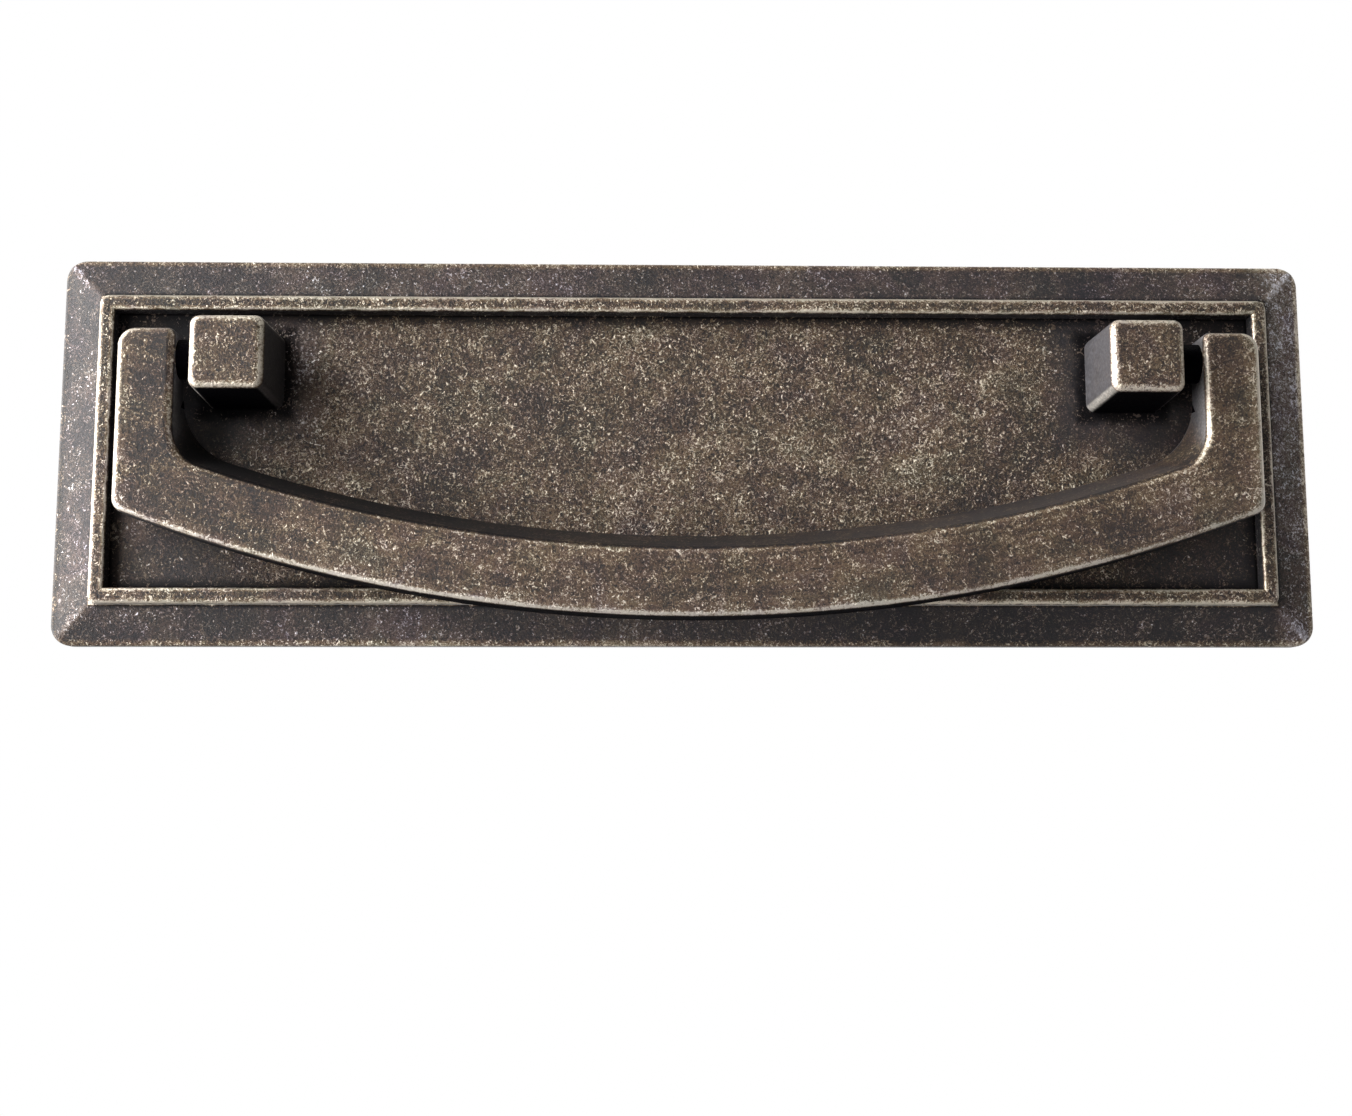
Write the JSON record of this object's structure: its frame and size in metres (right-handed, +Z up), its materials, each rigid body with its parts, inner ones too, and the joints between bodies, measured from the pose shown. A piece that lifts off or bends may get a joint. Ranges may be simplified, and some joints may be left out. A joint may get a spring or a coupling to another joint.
{
  "type": "bail drawer pull",
  "caption": "Drawer pull with a bowed swinging bail hung between square posts on a rectangular backplate with a raised rib and sloping border.",
  "frame": {"origin": "centre of the flat back of the backplate, where it lies on the drawer front", "axes": "+X to the right and +Z up on a vertical drawer front, with the front of the pull looking along -Y"},
  "size_m": [0.1362, 0.0116, 0.0424],
  "materials": {
    "backplate": "dark aged brass plating, tumbled, over cast zinc alloy",
    "posts": "dark aged brass plating, rubbed brighter on the edges",
    "bail": "dark aged brass plating, rubbed brighter on the front"
  },
  "bodies": {
    "plate": {"backplate": "backplate", "post_left": "posts", "post_right": "posts"},
    "bail": {"bail": "bail"}
  },
  "joints": [
    {"name": "bail_swing", "type": "hinge", "parent": "plate", "child": "bail", "pos_m": [0, -0.0059, 0.009], "axis": [-1, 0, 0], "range_deg": [0, 176]}
  ]
}
